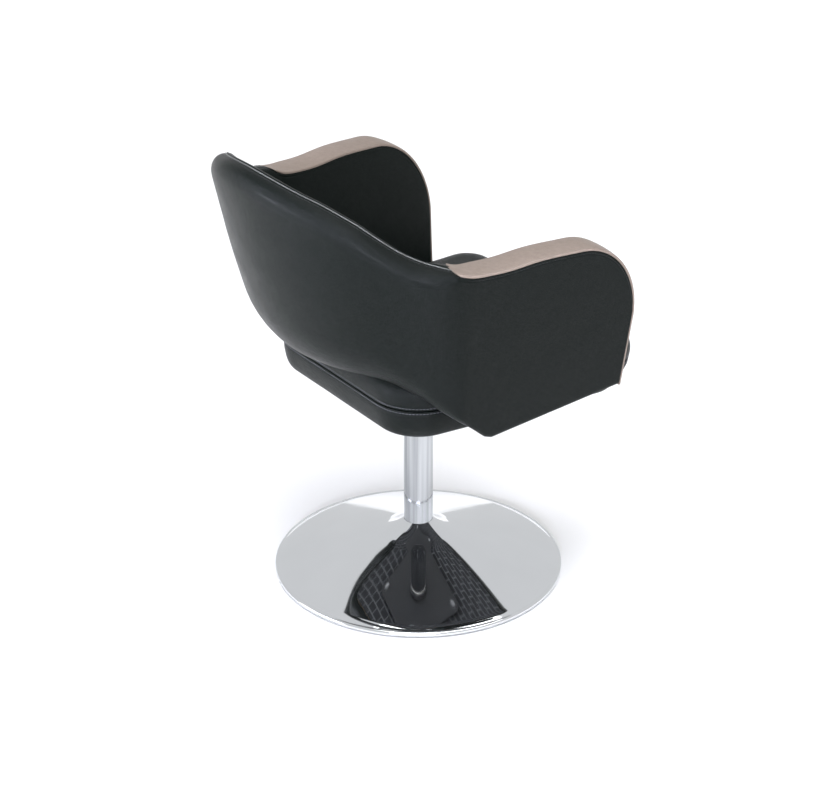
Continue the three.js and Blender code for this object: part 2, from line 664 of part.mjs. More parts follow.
// Path of the band: along the crest, round the front and down to the foot. Each stop gives the place on the
// wall at an inset from the edge. The first two lean, because the rear end is cut on a slant.
function bandPath() {
  const crestStop = (s, lean) => (inset) => {
    const place = s + (lean * inset) / BAND_THICK;
    return [place, crestHeight(place) - inset];
  };
  const start = crestStop(BAND_START_S + BAND_REAR_GAP, BAND_CUT);
  const second = crestStop(BAND_START_S + BAND_CUT, BAND_REAR_GAP + 1);
  const along = COLUMNS.map(({ hem }) => hem[0])
    .filter((s) => s > BAND_START_S + BAND_CUT + 1 && s <= FRONT_CENTRE.s)
    .map((s) => crestStop(s, 0));
  const front = range(FRONT_STEPS).map((i) => (inset) => {
    const angle = ((i + 1) / FRONT_STEPS) * (Math.PI / 2);
    return [
      FRONT_CENTRE.s + (FRONT_RADIUS.s - inset) * Math.sin(angle),
      FRONT_CENTRE.z + (FRONT_RADIUS.z - inset) * Math.cos(angle),
    ];
  });
  const foot = (inset) => [FRONT_FOOT.s - inset, hemHeight(FRONT_FOOT.s - inset)];
  return [start, second, ...along, ...front, foot];
}

function buildArmBands() {
  const rings = bandPath().map((place) => {
    const corner = (inset, depthAt) => {
      const [s, z] = place(inset);
      return wallPoint(s, z, depthAt(s));
    };
    const outer = (inset) => (s) => crestTurn(s, inset);
    const inner = (inset) => (s) => padInside(s, crestHeight(s), inset) - rolledIn(inset, 2);
    const insets = [BAND_THICK, 3, 1, 0];
    return [
      ...insets.map((inset) => corner(inset, outer(inset))),
      ...[...insets].reverse().map((inset) => corner(inset, inner(inset))),
    ];
  });
  const left = lofted(rings);
  add('arm_band_left', left, 'band');
  add('arm_band_right', mirrored(left), 'band');
}

function buildArmBolts() {
  sides.forEach(([label, side]) => {
    ARM_BOLT.y.forEach((y, i) => {
      const headStart = side * (RAIL.x - ARM_BOLT.headLength);
      const head = crossRod(ARM_BOLT.head, headStart, side * (RAIL.x - GAP), y, ARM_BOLT.z, 6);
      const shank = crossRod(BOLT_RADIUS, side * (RAIL.x - 1), side * ARM_BOLT.tip, y, ARM_BOLT.z);
      add(`arm_bolt_${label}_${i + 1}`, fromSolid(toSolid(head).add(toSolid(shank))), 'steel');
    });
  });
}

buildBase();
buildColumn();
buildSwivelBearings();
buildSpindle();
buildSeatPlate();
buildSeat();
buildShellFrame();
buildOuterCover();
buildBackPad();
buildArmPads();
buildArmBands();
buildArmBolts();

export default chair;
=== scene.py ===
"""The visible surfaces of the styling chair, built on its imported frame. Lengths are in millimetres."""

from math import acos, asin, atan2, cos, exp, hypot, pi, radians, sin, sqrt

import bpy
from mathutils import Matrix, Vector, noise


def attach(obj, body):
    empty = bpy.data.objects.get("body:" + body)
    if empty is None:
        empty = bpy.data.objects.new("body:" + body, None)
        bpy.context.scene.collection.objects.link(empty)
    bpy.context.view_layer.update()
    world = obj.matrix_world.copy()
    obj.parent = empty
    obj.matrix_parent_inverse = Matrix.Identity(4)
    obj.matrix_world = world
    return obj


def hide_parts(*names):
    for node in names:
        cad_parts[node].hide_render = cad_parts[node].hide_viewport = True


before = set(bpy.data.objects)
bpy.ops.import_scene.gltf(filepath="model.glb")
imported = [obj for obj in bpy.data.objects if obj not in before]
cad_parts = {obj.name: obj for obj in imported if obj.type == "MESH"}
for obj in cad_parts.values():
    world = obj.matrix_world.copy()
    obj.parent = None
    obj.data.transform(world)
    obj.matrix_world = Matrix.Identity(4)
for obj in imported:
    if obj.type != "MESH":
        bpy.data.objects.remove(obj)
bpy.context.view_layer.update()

MM = 0.001

# Base and column
COLUMN_RADIUS, COLUMN_WALL = 25, 3
TUBE_LOW, TUBE_HIGH = 20.3, 329.9
COVER_RADIUS = 250
BEAD_CENTRE_Z, BEAD_WIDE, BEAD_HIGH = 5.4, 4.4, 4.6
CONE_RIM, CONE_TOP, FLARE_BEND = (242.5, 10.9), (60, 66), (41, 75.5)
NECK = (COLUMN_RADIUS + 0.25, 89)

# Seat
SEAT_REAR_Y, SEAT_FRONT_Y = 170, -286
SEAT_SIDE_X, SEAT_SIDE_Y, SEAT_SPLAY = 213, 53, 0.086
SEAT_MIDDLE_Y = (SEAT_REAR_Y + SEAT_FRONT_Y) / 2
SEAT_REAR_CORNER, SEAT_FRONT_CORNER = 80, 52
SEAT_TOP_Z, SEAT_CROWN, SEAT_WANDER = 454, 5, 0.9
BOARD_EDGE, BOARD_FRONT_CUT = 25.7, 26
BOARD_LOW, BOARD_HIGH = 357.6, 376
LINING_EDGE, LINING_OPENING, LINING_FOLD = 26.5, 88, 0.09
LINING_LOW, LINING_HIGH = 359.2, 359.8
SEAT_POINTS, LINING_POINTS = 240, 288

# Wall of the shell: plan line, lean, crest, hem and front edge
REFERENCE_Z = 640
BACK_Y, BACK_RADIUS, BACK_ANGLE = 307, 341, radians(51.7)
CORNER_RADIUS, ARM_ANGLE = 136, radians(84.8)
BACK_LEAN, ARM_LEAN = 0.242, 0.113
BOW_ABOVE, BOW_BELOW = 0.00015, 0.0003
BACK_ARC = BACK_RADIUS * BACK_ANGLE
ARM_START = BACK_ARC + CORNER_RADIUS * (ARM_ANGLE - BACK_ANGLE)
CREST = [
    (0, 793), (50, 789), (100, 779), (150, 766), (202, 743.5), (230, 726.5), (264, 706), (290, 693.5),
    (310, 686.5), (335, 681), (354, 677), (365, 673.5), (385, 669), (401, 667.5), (447, 667.5),
    (508, 673.5), (578, 673.5),
]
HEM = [
    (0, 462), (80, 464), (160, 466), (207, 467), (249, 463), (290, 449.5), (325, 437), (388, 407), (439, 366),
]
HEM_CORNER_S, HEM_CORNER_EASE = 439, 12
FRONT_FOOT = (683, 408)
FRONT_CENTRE = (578, 536.5)
FRONT_RADIUS = (113, 137)
SIDES = (("left", 1), ("right", -1))

# Stretches of the plan line over which the back's values pass into the arms'
ROLL_BLEND, HEM_BLEND, THICK_BLEND = (298, 418), (190, 420), (280, 400)

# Roundings of the outer leather: depth at the back and on the arms, and height over depth at the back
CREST_ROLL_BACK, CREST_ROLL_ARM, CREST_TALL = 29, 2.5, 1.25
HEM_ROLL_BACK, HEM_ROLL_ARM, HEM_TALL = 34, 7, 2.05
SEAM_RADIUS = 1.8

# Layers of the wall. A pair is a value at the back and one on the arms
BAND_THICK = 4
BAND_START_S = 354
BAND_CUT = 11
BAND_EDGE = BAND_THICK + 0.3
BAND_END_RUN = 30
BAND_CROWN, BAND_INNER_RADIUS = 1.5, 2.4
BACK_CREST_DEPTH, BACK_THICK, ARM_THICK = 42, 51, 57
PAD_JOIN_S, PAD_JOIN_GAP, PAD_PUCKER = 308, 0.35, 2.4
PAD_TOP_RADIUS, PAD_HEM_RADIUS, PAD_PUFF = (7, 9), (14, 5), (5, 3)
PAD_CROWN = 1.6
HEM_SEAM_DEPTH = 3.9

# Stitches
STITCH_DROP = 6
STITCH_PITCH, STITCH_HALF = 5.6, 5.6 * 0.37
STITCH_PROUD = 0.15
STITCH_DIP, STITCH_DIP_WIDTH = 0.55, 1.1

# Spacing of the wall's columns and rows
COLUMN_SPACING, FRONT_STEPS = 6, 26
MIDDLE_ROWS, HIDDEN_ROWS = 24, 8


# ---- Small functions ----

def mix(a, b, t):
    return a + (b - a) * t


def smooth(x, low, high):
    t = min(max((x - low) / (high - low), 0), 1)
    return t * t * (3 - 2 * t)


def steps(low, high, count):
    return [mix(low, high, k / count) for k in range(count + 1)]


def curve_through(points, first_slope=None):
    """A smooth function through points in order of their first value."""
    slopes = []
    for i in range(len(points)):
        a, b = points[max(i - 1, 0)], points[min(i + 1, len(points) - 1)]
        slopes.append((b[1] - a[1]) / (b[0] - a[0]))
    if first_slope is not None:
        slopes[0] = first_slope

    def at(x):
        i = 0
        while i < len(points) - 2 and x > points[i + 1][0]:
            i += 1
        (x0, y0), (x1, y1) = points[i], points[i + 1]
        t = (x - x0) / (x1 - x0)
        rise = y1 - y0
        a = slopes[i] * (x1 - x0) - rise
        b = rise - slopes[i + 1] * (x1 - x0)
        return mix(y0, y1, t) + t * (1 - t) * (a * (1 - t) + b * t)

    return at


def arc_depth(distance, radius, tall=1.0):
    """How far a rounded edge has turned in at a distance from its tip. Tall stretches the rounding."""
    distance = max(distance, 0) / tall
    if distance >= radius:
        return 0
    return radius - sqrt(radius ** 2 - (radius - distance) ** 2)


# ---- The wall of the shell ----

crest_height = curve_through(CREST, 0)
hem_curve = curve_through(HEM, 0)


def sharp_hem(s):
    if s <= HEM_CORNER_S:
        return hem_curve(s)
    t = (s - HEM_CORNER_S) / (FRONT_FOOT[0] - HEM_CORNER_S)
    return mix(HEM[-1][1], FRONT_FOOT[1], t)


def hem_height(s):
    """The hem with its corner eased over a few millimetres."""
    ease = HEM_CORNER_EASE - abs(s - HEM_CORNER_S)
    if ease < 0:
        return sharp_hem(s)
    return mix(sharp_hem(s), (sharp_hem(s - ease) + sharp_hem(s + ease)) / 2, 0.5)


def plan_point(s):
    """The plan line: x, y and the outward direction there."""
    if s <= BACK_ARC:
        angle = s / BACK_RADIUS
        return BACK_RADIUS * sin(angle), BACK_Y - BACK_RADIUS * (1 - cos(angle)), sin(angle), cos(angle)
    angle = min(BACK_ANGLE + (s - BACK_ARC) / CORNER_RADIUS, ARM_ANGLE)
    straight = max(s - ARM_START, 0)
    x = BACK_RADIUS * sin(BACK_ANGLE) + CORNER_RADIUS * (sin(angle) - sin(BACK_ANGLE))
    y = BACK_Y - BACK_RADIUS * (1 - cos(BACK_ANGLE)) - CORNER_RADIUS * (cos(BACK_ANGLE) - cos(angle))
    return x + straight * cos(angle), y - straight * sin(angle), sin(angle), cos(angle)


def wall_point(s, z, depth, side=1):
    """The point of the wall at s along it, at height z and this deep in from the outer leather."""
    x, y, out_x, out_y = plan_point(s)
    rise = z - REFERENCE_Z
    rearward = max(out_y, 0)
    lean = mix(ARM_LEAN, BACK_LEAN, rearward ** 1.5)
    bow = BOW_ABOVE if rise > 0 else BOW_BELOW
    out = rise * lean - bow * rearward * rise * rise - depth
    return Vector((side * (x + out_x * out), y + out_y * out, z)) * MM


def arm_share(s):
    return smooth(s, *ROLL_BLEND)


def crest_roll(s):
    return mix(CREST_ROLL_BACK, CREST_ROLL_ARM, arm_share(s))


def crest_tall(s):
    return mix(CREST_TALL, 1, arm_share(s))


def hem_share(s):
    return smooth(s, *HEM_BLEND)


def hem_roll(s):
    return mix(HEM_ROLL_BACK, HEM_ROLL_ARM, hem_share(s))


def hem_tall(s):
    return mix(HEM_TALL, 1, hem_share(s))


def band_share(s):
    """0 where there is no band, 1 where the whole band lies on the edge."""
    return min(max((s - BAND_START_S) / BAND_CUT, 0), 1)


def pad_depth(s, below):
    """Depth of the inner leather at a distance below the crest."""
    crest = mix(BACK_CREST_DEPTH, ARM_THICK, arm_share(s))
    full = mix(BACK_THICK, ARM_THICK, smooth(s, *THICK_BLEND))
    return mix(crest, full, smooth(below, 0, 170))


def front_edge(turn, inset):
    """A place on the rounded front of the arm, turn being 0 at the top and 1 at the front."""
    angle = turn * pi / 2
    return (
        FRONT_CENTRE[0] + (FRONT_RADIUS[0] - inset) * sin(angle),
        FRONT_CENTRE[1] + (FRONT_RADIUS[1] - inset) * cos(angle),
    )


def wall_columns(low=0.0, high=FRONT_CENTRE[0], near=()):
    """Columns of the wall between two places: s, place of the hem and place of the top edge."""
    corners = (HEM_CORNER_S, BAND_START_S, BAND_START_S + BAND_CUT, *near)
    marks = sorted({low, high, *(s for s in corners if low < s < high)})
    stations = [low]
    for start, end in zip(marks, marks[1:]):
        stations += steps(start, end, max(round((end - start) / COLUMN_SPACING), 1))[1:]
    columns = [(s, (s, hem_height(s)), (s, crest_height(s) - BAND_EDGE * band_share(s))) for s in stations]
    for turn in steps(0, 1, FRONT_STEPS)[1:] if high == FRONT_CENTRE[0] else []:
        s = mix(FRONT_CENTRE[0], FRONT_FOOT[0] - BAND_EDGE, turn)
        columns.append((s, (s, hem_height(s)), front_edge(turn, BAND_EDGE)))
    return columns


def column_length(column):
    _, hem, top = column
    return hypot(top[0] - hem[0], top[1] - hem[1])


def along_column(column, distance):
    """The place at a distance up a column from its hem."""
    _, hem, top = column
    t = distance / column_length(column)
    return mix(hem[0], top[0], t), mix(hem[1], top[1], t)


# ---- Materials ----

def new_material(name, colour, roughness, metallic=0.0):
    material = bpy.data.materials.new(name)
    material.use_nodes = True
    shader = material.node_tree.nodes["Principled BSDF"]
    shader.inputs["Base Color"].default_value = (*colour, 1)
    shader.inputs["Roughness"].default_value = roughness
    shader.inputs["Metallic"].default_value = metallic
    return material, material.node_tree, shader


def add_node(tree, kind, inputs=None, **settings):
    node = tree.nodes.new(kind)
    for key, value in settings.items():
        setattr(node, key, value)
    for key, value in (inputs or {}).items():
        node.inputs[key].default_value = value
    return node


def object_coordinates(tree, scale=(1, 1, 1)):
    where = add_node(tree, "ShaderNodeTexCoord")
    mapping = add_node(tree, "ShaderNodeMapping", {"Scale": scale})
    tree.links.new(where.outputs["Object"], mapping.inputs["Vector"])
    return mapping.outputs["Vector"]


def noise_texture(tree, vector, scale, detail=3.0, roughness=0.5):
    node = add_node(tree, "ShaderNodeTexNoise", {"Scale": scale, "Detail": detail, "Roughness": roughness})
    tree.links.new(vector, node.inputs["Vector"])
    return node.outputs["Fac"]


def ramp(tree, value, low, high, position=(0.3, 0.7)):
    node = tree.nodes.new("ShaderNodeValToRGB")
    for element, where, colour in zip(node.color_ramp.elements, position, (low, high)):
        element.position = where
        element.color = (*colour, 1)
    tree.links.new(value, node.inputs["Fac"])
    return node.outputs["Color"]


def value_range(tree, value, low, high, start=0.3, end=0.7):
    limits = {"From Min": start, "From Max": end, "To Min": low, "To Max": high}
    node = add_node(tree, "ShaderNodeMapRange", limits)
    tree.links.new(value, node.inputs["Value"])
    return node.outputs["Result"]


def bump(tree, height, distance, strength, below=None):
    node = add_node(tree, "ShaderNodeBump", {"Distance": distance, "Strength": strength})
    tree.links.new(height, node.inputs["Height"])
    if below is not None:
        tree.links.new(below, node.inputs["Normal"])
    return node.outputs["Normal"]


def leather(name, dark, light, rough, grain, depth, strength, specular):
    """Pebbled leather: raised cells with creases between them, pores, and slow changes of tone and gloss."""
    material, tree, shader = new_material(name, dark, sum(rough) / 2)
    shader.inputs["Specular IOR Level"].default_value = specular
    vector = object_coordinates(tree)
    wander = noise_texture(tree, vector, 130, 4, 0.6)
    tree.links.new(ramp(tree, wander, dark, light), shader.inputs["Base Color"])
    cloud = noise_texture(tree, vector, 26, 5, 0.62)
    tree.links.new(value_range(tree, cloud, *rough), shader.inputs["Roughness"])
    cell_size = {"Scale": grain, "Randomness": 0.95}
    cells = add_node(tree, "ShaderNodeTexVoronoi", cell_size, feature="DISTANCE_TO_EDGE")
    tree.links.new(vector, cells.inputs["Vector"])
    pebble = value_range(tree, cells.outputs["Distance"], 0, 1, 0.0, 0.22)
    pores = noise_texture(tree, vector, 2400, 2, 0.5)
    soft = noise_texture(tree, vector, 55, 3, 0.5)
    first = bump(tree, soft, 0.0016, 0.22)
    second = bump(tree, pores, 0.00006, 0.3, first)
    tree.links.new(bump(tree, pebble, depth, strength, second), shader.inputs["Normal"])
    return material


def chrome_finish(name, dark, light, spun=False):
    """Polished chrome with spun marks, or with drawn marks whose dark and light streaks in the colour are a
    painted reflection; wipe marks and a very slight ripple.
    """
    material, tree, shader = new_material(name, light, 0.05, 1.0)
    vector = object_coordinates(tree)
    # Streaks in the colour: spun marks on the spun cover, and on the column vertical streaks of painted
    # reflection.
    drawn_marks_and_painted_reflection = noise_texture(tree, object_coordinates(tree, (1, 1, 0.02)), 9 if spun else 85, 2, 0.5)
    tree.links.new(ramp(tree, drawn_marks_and_painted_reflection, dark, light), shader.inputs["Base Color"])
    smudge = noise_texture(tree, vector, 9, 6, 0.65)
    tree.links.new(value_range(tree, smudge, 0.025, 0.085, 0.35, 0.75), shader.inputs["Roughness"])
    stretched = object_coordinates(tree, (1, 1, 0.05) if spun else (1, 1, 60))
    marks = noise_texture(tree, stretched, 260, 3, 0.6)
    ripple = noise_texture(tree, vector, 14, 2, 0.4)
    first = bump(tree, ripple, 0.0012, 0.05)
    tree.links.new(bump(tree, marks, 0.00002, 0.12, first), shader.inputs["Normal"])
    return material


def metal(name, colour, rough, scale=180, depth=0.00008, metallic=1.0):
    """Turned or rolled metal with fine marks and patches of duller surface."""
    material, tree, shader = new_material(name, colour, rough, metallic)
    vector = object_coordinates(tree)
    fine = noise_texture(tree, vector, scale, 4, 0.6)
    worn = tuple(c * 0.7 for c in colour)
    tree.links.new(ramp(tree, fine, worn, colour), shader.inputs["Base Color"])
    tree.links.new(value_range(tree, fine, rough * 0.75, rough * 1.3), shader.inputs["Roughness"])
    tree.links.new(bump(tree, fine, depth, 0.4), shader.inputs["Normal"])
    return material


def timber(name, dark, light, stretch):
    """Straight-grained wood, the grain running along the axis that is stretched least."""
    material, tree, shader = new_material(name, light, 0.62)
    vector = object_coordinates(tree, stretch)
    rings = add_node(tree, "ShaderNodeTexNoise", {"Scale": 30, "Detail": 6, "Distortion": 0.6})
    tree.links.new(vector, rings.inputs["Vector"])
    tree.links.new(ramp(tree, rings.outputs["Fac"], dark, light, (0.35, 0.65)), shader.inputs["Base Color"])
    tree.links.new(bump(tree, rings.outputs["Fac"], 0.0002, 0.4), shader.inputs["Normal"])
    return material


def dull(name, dark, light, rough, scale=300, depth=0.0001):
    """Moulded plastic or rubber with a fine matt surface."""
    material, tree, shader = new_material(name, light, rough)
    vector = object_coordinates(tree)
    fine = noise_texture(tree, vector, scale, 3, 0.5)
    tree.links.new(ramp(tree, fine, dark, light), shader.inputs["Base Color"])
    tree.links.new(bump(tree, fine, depth, 0.35), shader.inputs["Normal"])
    return material


def dust_cloth(name):
    """Black non-woven cloth with a stamped pattern of short dashes."""
    material, tree, shader = new_material(name, (0.012, 0.013, 0.015), 0.85)
    vector = object_coordinates(tree)
    bricks = add_node(tree, "ShaderNodeTexBrick", {
        "Color1": (0.010, 0.011, 0.013, 1),
        "Color2": (0.014, 0.015, 0.018, 1),
        "Mortar": (0.11, 0.115, 0.12, 1),
        "Scale": 30, "Mortar Size": 0.035, "Brick Width": 0.9, "Row Height": 0.5,
    })
    tree.links.new(vector, bricks.inputs["Vector"])
    tree.links.new(bricks.outputs["Color"], shader.inputs["Base Color"])
    fibres = noise_texture(tree, vector, 700, 4, 0.7)
    tree.links.new(bump(tree, fibres, 0.0003, 0.5), shader.inputs["Normal"])
    return material


BLACK_LEATHER = leather(
    "black_leather", (0.0022, 0.0038, 0.0033), (0.0038, 0.0056, 0.0050), (0.28, 0.36),
    grain=620, depth=0.0003, strength=0.6, specular=0.115,
)
INNER_LEATHER = leather(
    "inner_leather", (0.0026, 0.0048, 0.0040), (0.0044, 0.0070, 0.0060), (0.32, 0.42),
    grain=620, depth=0.0003, strength=0.55, specular=0.11,
)
TAUPE_LEATHER = leather(
    "taupe_leather", (0.200, 0.158, 0.132), (0.236, 0.188, 0.158), (0.42, 0.54),
    grain=900, depth=0.00012, strength=0.25, specular=0.35,
)
# Light grey, not black: the seam cord's colour is a painted highlight along the top seam of the back.
SEAM_CORD_PAINTED_HIGHLIGHT = leather(
    "seam_cord_painted_highlight", (0.075, 0.08, 0.078), (0.10, 0.105, 0.10), (0.34, 0.42),
    grain=1400, depth=0.0001, strength=0.2, specular=0.5,
)
# Thread of the seat seam, coloured light grey: a painted highlight along the two lines beside the seam.
SEAT_THREAD_PAINTED_HIGHLIGHT = dull("seat_thread_painted_highlight", (0.085, 0.088, 0.10), (0.13, 0.135, 0.15), 0.5, 3000, 0.0001)
THREAD = dull("black_thread", (0.006, 0.006, 0.007), (0.014, 0.014, 0.016), 0.55, 3000, 0.0001)
# The column's chrome runs from dark to light in vertical streaks of painted reflection.
CHROME = chrome_finish("chrome_painted_reflection", (0.26, 0.27, 0.285), (0.60, 0.615, 0.63))
SPUN_CHROME = chrome_finish("spun_chrome", (0.79, 0.805, 0.82), (0.82, 0.835, 0.85), spun=True)
STEEL = metal("zinc_plated_steel", (0.50, 0.51, 0.52), 0.32)
BLACK_STEEL = metal("black_painted_steel", (0.022, 0.023, 0.025), 0.42, 600, 0.0001, 0.0)
IRON = metal("cast_iron", (0.075, 0.075, 0.078), 0.62, 420, 0.0004, 0.6)
NYLON = dull("white_nylon", (0.60, 0.59, 0.53), (0.68, 0.67, 0.62), 0.5)
RUBBER = dull("black_rubber", (0.010, 0.010, 0.011), (0.020, 0.020, 0.021), 0.85, 500, 0.0003)
PLYWOOD = timber("birch_plywood", (0.36, 0.22, 0.10), (0.60, 0.42, 0.23), (1, 1, 14))
BEECH = timber("beech", (0.42, 0.24, 0.12), (0.62, 0.40, 0.23), (12, 1, 12))
LINING = dust_cloth("dust_cloth")


# ---- Making objects ----

def make_object(name, vertices, faces, material, body="seat", sharp=None):
    mesh = bpy.data.meshes.new(name)
    mesh.from_pydata([tuple(v) for v in vertices], [], faces)
    mesh.validate()
    mesh.shade_smooth()
    if sharp is not None:
        mesh.set_sharp_from_angle(angle=radians(sharp))
    mesh.materials.append(material)
    thing = bpy.data.objects.new(name, mesh)
    bpy.context.scene.collection.objects.link(thing)
    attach(thing, body)
    return thing


def loft(rings, closed=False):
    """Vertices and faces through rings of equal length, capped at both ends unless closed on themselves."""
    n = len(rings[0])
    vertices = [p for ring in rings for p in ring]
    faces = []
    count = len(rings)
    for i in range(count if closed else count - 1):
        for j in range(n):
            k = (j + 1) % n
            after = (i + 1) % count
            faces.append((i * n + j, i * n + k, after * n + k, after * n + j))
    if not closed:
        faces.append(tuple(reversed(range(n))))
        faces.append(tuple((count - 1) * n + j for j in range(n)))
    return vertices, faces


def turned_inside_out(faces):
    return [tuple(reversed(face)) for face in faces]


def lathe(profile, count):
    """Vertices and faces of a closed profile of (r, z) turned about Z, the profile running anticlockwise."""
    rings = []
    for k in range(count):
        angle = 2 * pi * k / count
        rings.append([Vector((r * cos(angle), r * sin(angle), z)) * MM for r, z in profile])
    vertices, faces = loft(rings, closed=True)
    return vertices, turned_inside_out(faces)


# ---- Shell pieces ----

TOP_LENGTHS = [0, 0.7, 1.6, 2.8, 4.2, 5.1, 5.7, 6.3, 6.9, 7.8, 9.2, 11.5, 14.5, 18, 22, 27, 33, 39, 44]
HEM_LENGTHS = [0, 1.5, 3.5, 6, 9, 13, 18, 24, 31, 39, 48, 58, 68, 78, 88]
PAD_HEM_LENGTHS = [0, 1.5, 3, 5, 8, 12, 17, 23, 30]

# Leather turned in at the seams: distance from the edge and depth past the seam
HEM_TUCK = [(4, 3.2), (1.2, 2.6), (0.2, 1.2)]
TOP_TUCK = [(0.2, 0.7), (1.2, 1.3), (3.5, 1.5)]
PAD_TUCK = [(3.5, 2.1), (1.2, 2.2), (0.3, 2.7)]

# Unseen faces between the layers: depth past the roundings, and least depth
PAD_REAR = (7, 24.6)
LEATHER_REAR = (5, 11)


def rolled_edge(length, radius, tall=1.0):
    """Distance from the tip and depth, at about an arc length along an edge with a quarter-round."""
    quarter = radius * pi / 2 * (1 + tall) / 2
    if length < quarter:
        angle = length / quarter * pi / 2
        return radius * tall * (1 - cos(angle)), radius * (1 - sin(angle))
    return radius * tall + length - quarter, 0


def stitch_dip(length):
    return STITCH_DIP * exp(-(((length - STITCH_DROP) / STITCH_DIP_WIDTH) ** 2))


def softness(s, distance, side, seed):
    """Slow unevenness of stuffed leather."""
    place = Vector((s / 95.0 * side, distance / 80.0, seed))
    return 0.55 * noise.noise(place) + 0.22 * noise.noise(place * 2.7)


def wrap_profile(column, side):
    """Outer leather at one column: distance up from the hem and depth, from the hem to the top seam."""
    s = column[0]
    length = column_length(column)
    share = band_share(s)
    top_radius = mix(crest_roll(s), SEAM_RADIUS, share)
    tall = mix(crest_tall(s), 1, share)
    low_radius = hem_roll(s)
    profile = [(distance, low_radius + depth) for distance, depth in HEM_TUCK]
    profile += [rolled_edge(run, low_radius, hem_tall(s)) for run in HEM_LENGTHS]
    low_end = profile[-1][0]
    top = []
    for run in TOP_LENGTHS:
        distance, depth = rolled_edge(run, top_radius, tall)
        shoulder = share * arc_depth(distance + BAND_EDGE, crest_roll(s), crest_tall(s))
        top.append((length - distance, depth + shoulder + stitch_dip(run)))
    high_end = top[-1][0]
    for k in range(1, MIDDLE_ROWS):
        distance = mix(low_end, high_end, k / MIDDLE_ROWS)
        swell = sin(pi * k / MIDDLE_ROWS) ** 0.7
        profile.append((distance, softness(s, distance, side, 3.0) * swell))
    profile += reversed(top)
    seam = top[0][1]
    return profile + [(length - distance, seam + depth) for distance, depth in TOP_TUCK]


def column_points(column, side, profile):
    places = [(*along_column(column, distance), depth) for distance, depth in profile]
    return [wall_point(s, z, depth, side) for s, z, depth in places]


def hidden_side(column, extra, least):
    """The unseen face between the layers: the back of the outer leather, or the outer side of the pads."""
    s, length = column[0], column_length(column)
    rows = []
    for distance in steps(6, length - 4.5, HIDDEN_ROWS):
        above = arc_depth(distance, hem_roll(s), hem_tall(s)) + extra
        below = arc_depth(length - distance + BAND_EDGE * band_share(s), crest_roll(s), crest_tall(s)) + extra
        rows.append((distance, max(least, above, below)))
    return rows


def wrap_ring(column, side):
    hidden = hidden_side(column, *LEATHER_REAR)
    return column_points(column, side, wrap_profile(column, side) + hidden[::-1])


def both_sides(columns, make_ring):
    """Rings from the right arm round the back to the left arm."""
    right = [make_ring(column, -1) for column in reversed(columns)]
    left = [make_ring(column, 1) for column in columns[1:]]
    return right + left


def build_wrap():
    vertices, faces = loft(both_sides(wall_columns(), wrap_ring))
    wrap = make_object("outer_leather", vertices, turned_inside_out(faces), BLACK_LEATHER)
    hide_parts("outer_cover")


def pad_profile(column, side):
    """Inner leather at one column: from the hem seam up the unseen side, over the top and down the inside."""
    s, length = column[0], column_length(column)
    share, arm = band_share(s), arm_share(s)
    seam = mix(crest_roll(s), SEAM_RADIUS + arc_depth(BAND_EDGE, crest_roll(s), crest_tall(s)), share)
    top_radius = mix(mix(*PAD_TOP_RADIUS, arm), SEAM_RADIUS, share)
    low_radius = mix(*PAD_HEM_RADIUS, arm)
    low_seam = hem_roll(s) + HEM_SEAM_DEPTH
    pucker = PAD_PUCKER * (1 - smooth(abs(s - PAD_JOIN_S), 0, 8))
    crown = PAD_CROWN * (1 - share)

    def inner(distance):
        height = column[1][1] + distance
        puff = mix(*PAD_PUFF, arm) * smooth(height, 470, 560) * sin(pi * min(distance / length, 1)) ** 0.8
        return pad_depth(s, length - distance + BAND_EDGE * share) + puff - pucker

    profile = [(4, low_seam)] + hidden_side(column, *PAD_REAR)
    profile += [(length - distance, seam + depth) for distance, depth in PAD_TUCK]
    for t in steps(0, 1, 8):
        depth = mix(seam + 3.6, inner(length) - top_radius, t)
        profile.append((length + crown * sin(pi * t) ** 0.8, depth))
    for run in TOP_LENGTHS[1:]:
        distance, turned = rolled_edge(run, top_radius)
        profile.append((length - distance, inner(length - distance) - turned - share * stitch_dip(run)))
    high_end = profile[-1][0]
    low_rows = [rolled_edge(run, low_radius) for run in PAD_HEM_LENGTHS]
    for k in range(1, MIDDLE_ROWS):
        distance = mix(high_end, low_rows[-1][0], k / MIDDLE_ROWS)
        swell = sin(pi * k / MIDDLE_ROWS) ** 0.7
        profile.append((distance, inner(distance) + softness(s, distance, side, 9.0) * swell))
    for distance, turned in reversed(low_rows):
        profile.append((distance, inner(distance) - turned))
    floor_depth = inner(0) - low_radius
    profile += [(0, mix(floor_depth, low_seam + 1, t)) for t in (0.33, 0.66)]
    return profile + [(0.2, low_seam + 1)]


def pad_ring(column, side):
    return column_points(column, side, pad_profile(column, side))


def build_pads():
    near_join = [PAD_JOIN_S - d for d in (7, 5, 3, 2, 1)]
    columns = wall_columns(0, PAD_JOIN_S - PAD_JOIN_GAP, near_join)
    vertices, faces = loft(both_sides(columns, pad_ring))
    pad = make_object("back_cushioning", vertices, turned_inside_out(faces), INNER_LEATHER)
    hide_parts("back_pad")

    columns = wall_columns(PAD_JOIN_S + PAD_JOIN_GAP, near=[PAD_JOIN_S + d for d in (1, 2, 3, 5, 7)])
    for label, side in SIDES:
        vertices, faces = loft([pad_ring(column, side) for column in columns])
        faces = faces if side < 0 else turned_inside_out(faces)
        pad = make_object(f"arm_cushioning_{label}", vertices, faces, INNER_LEATHER)
        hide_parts(f"arm_pad_{label}")


# ---- Arm bands ----

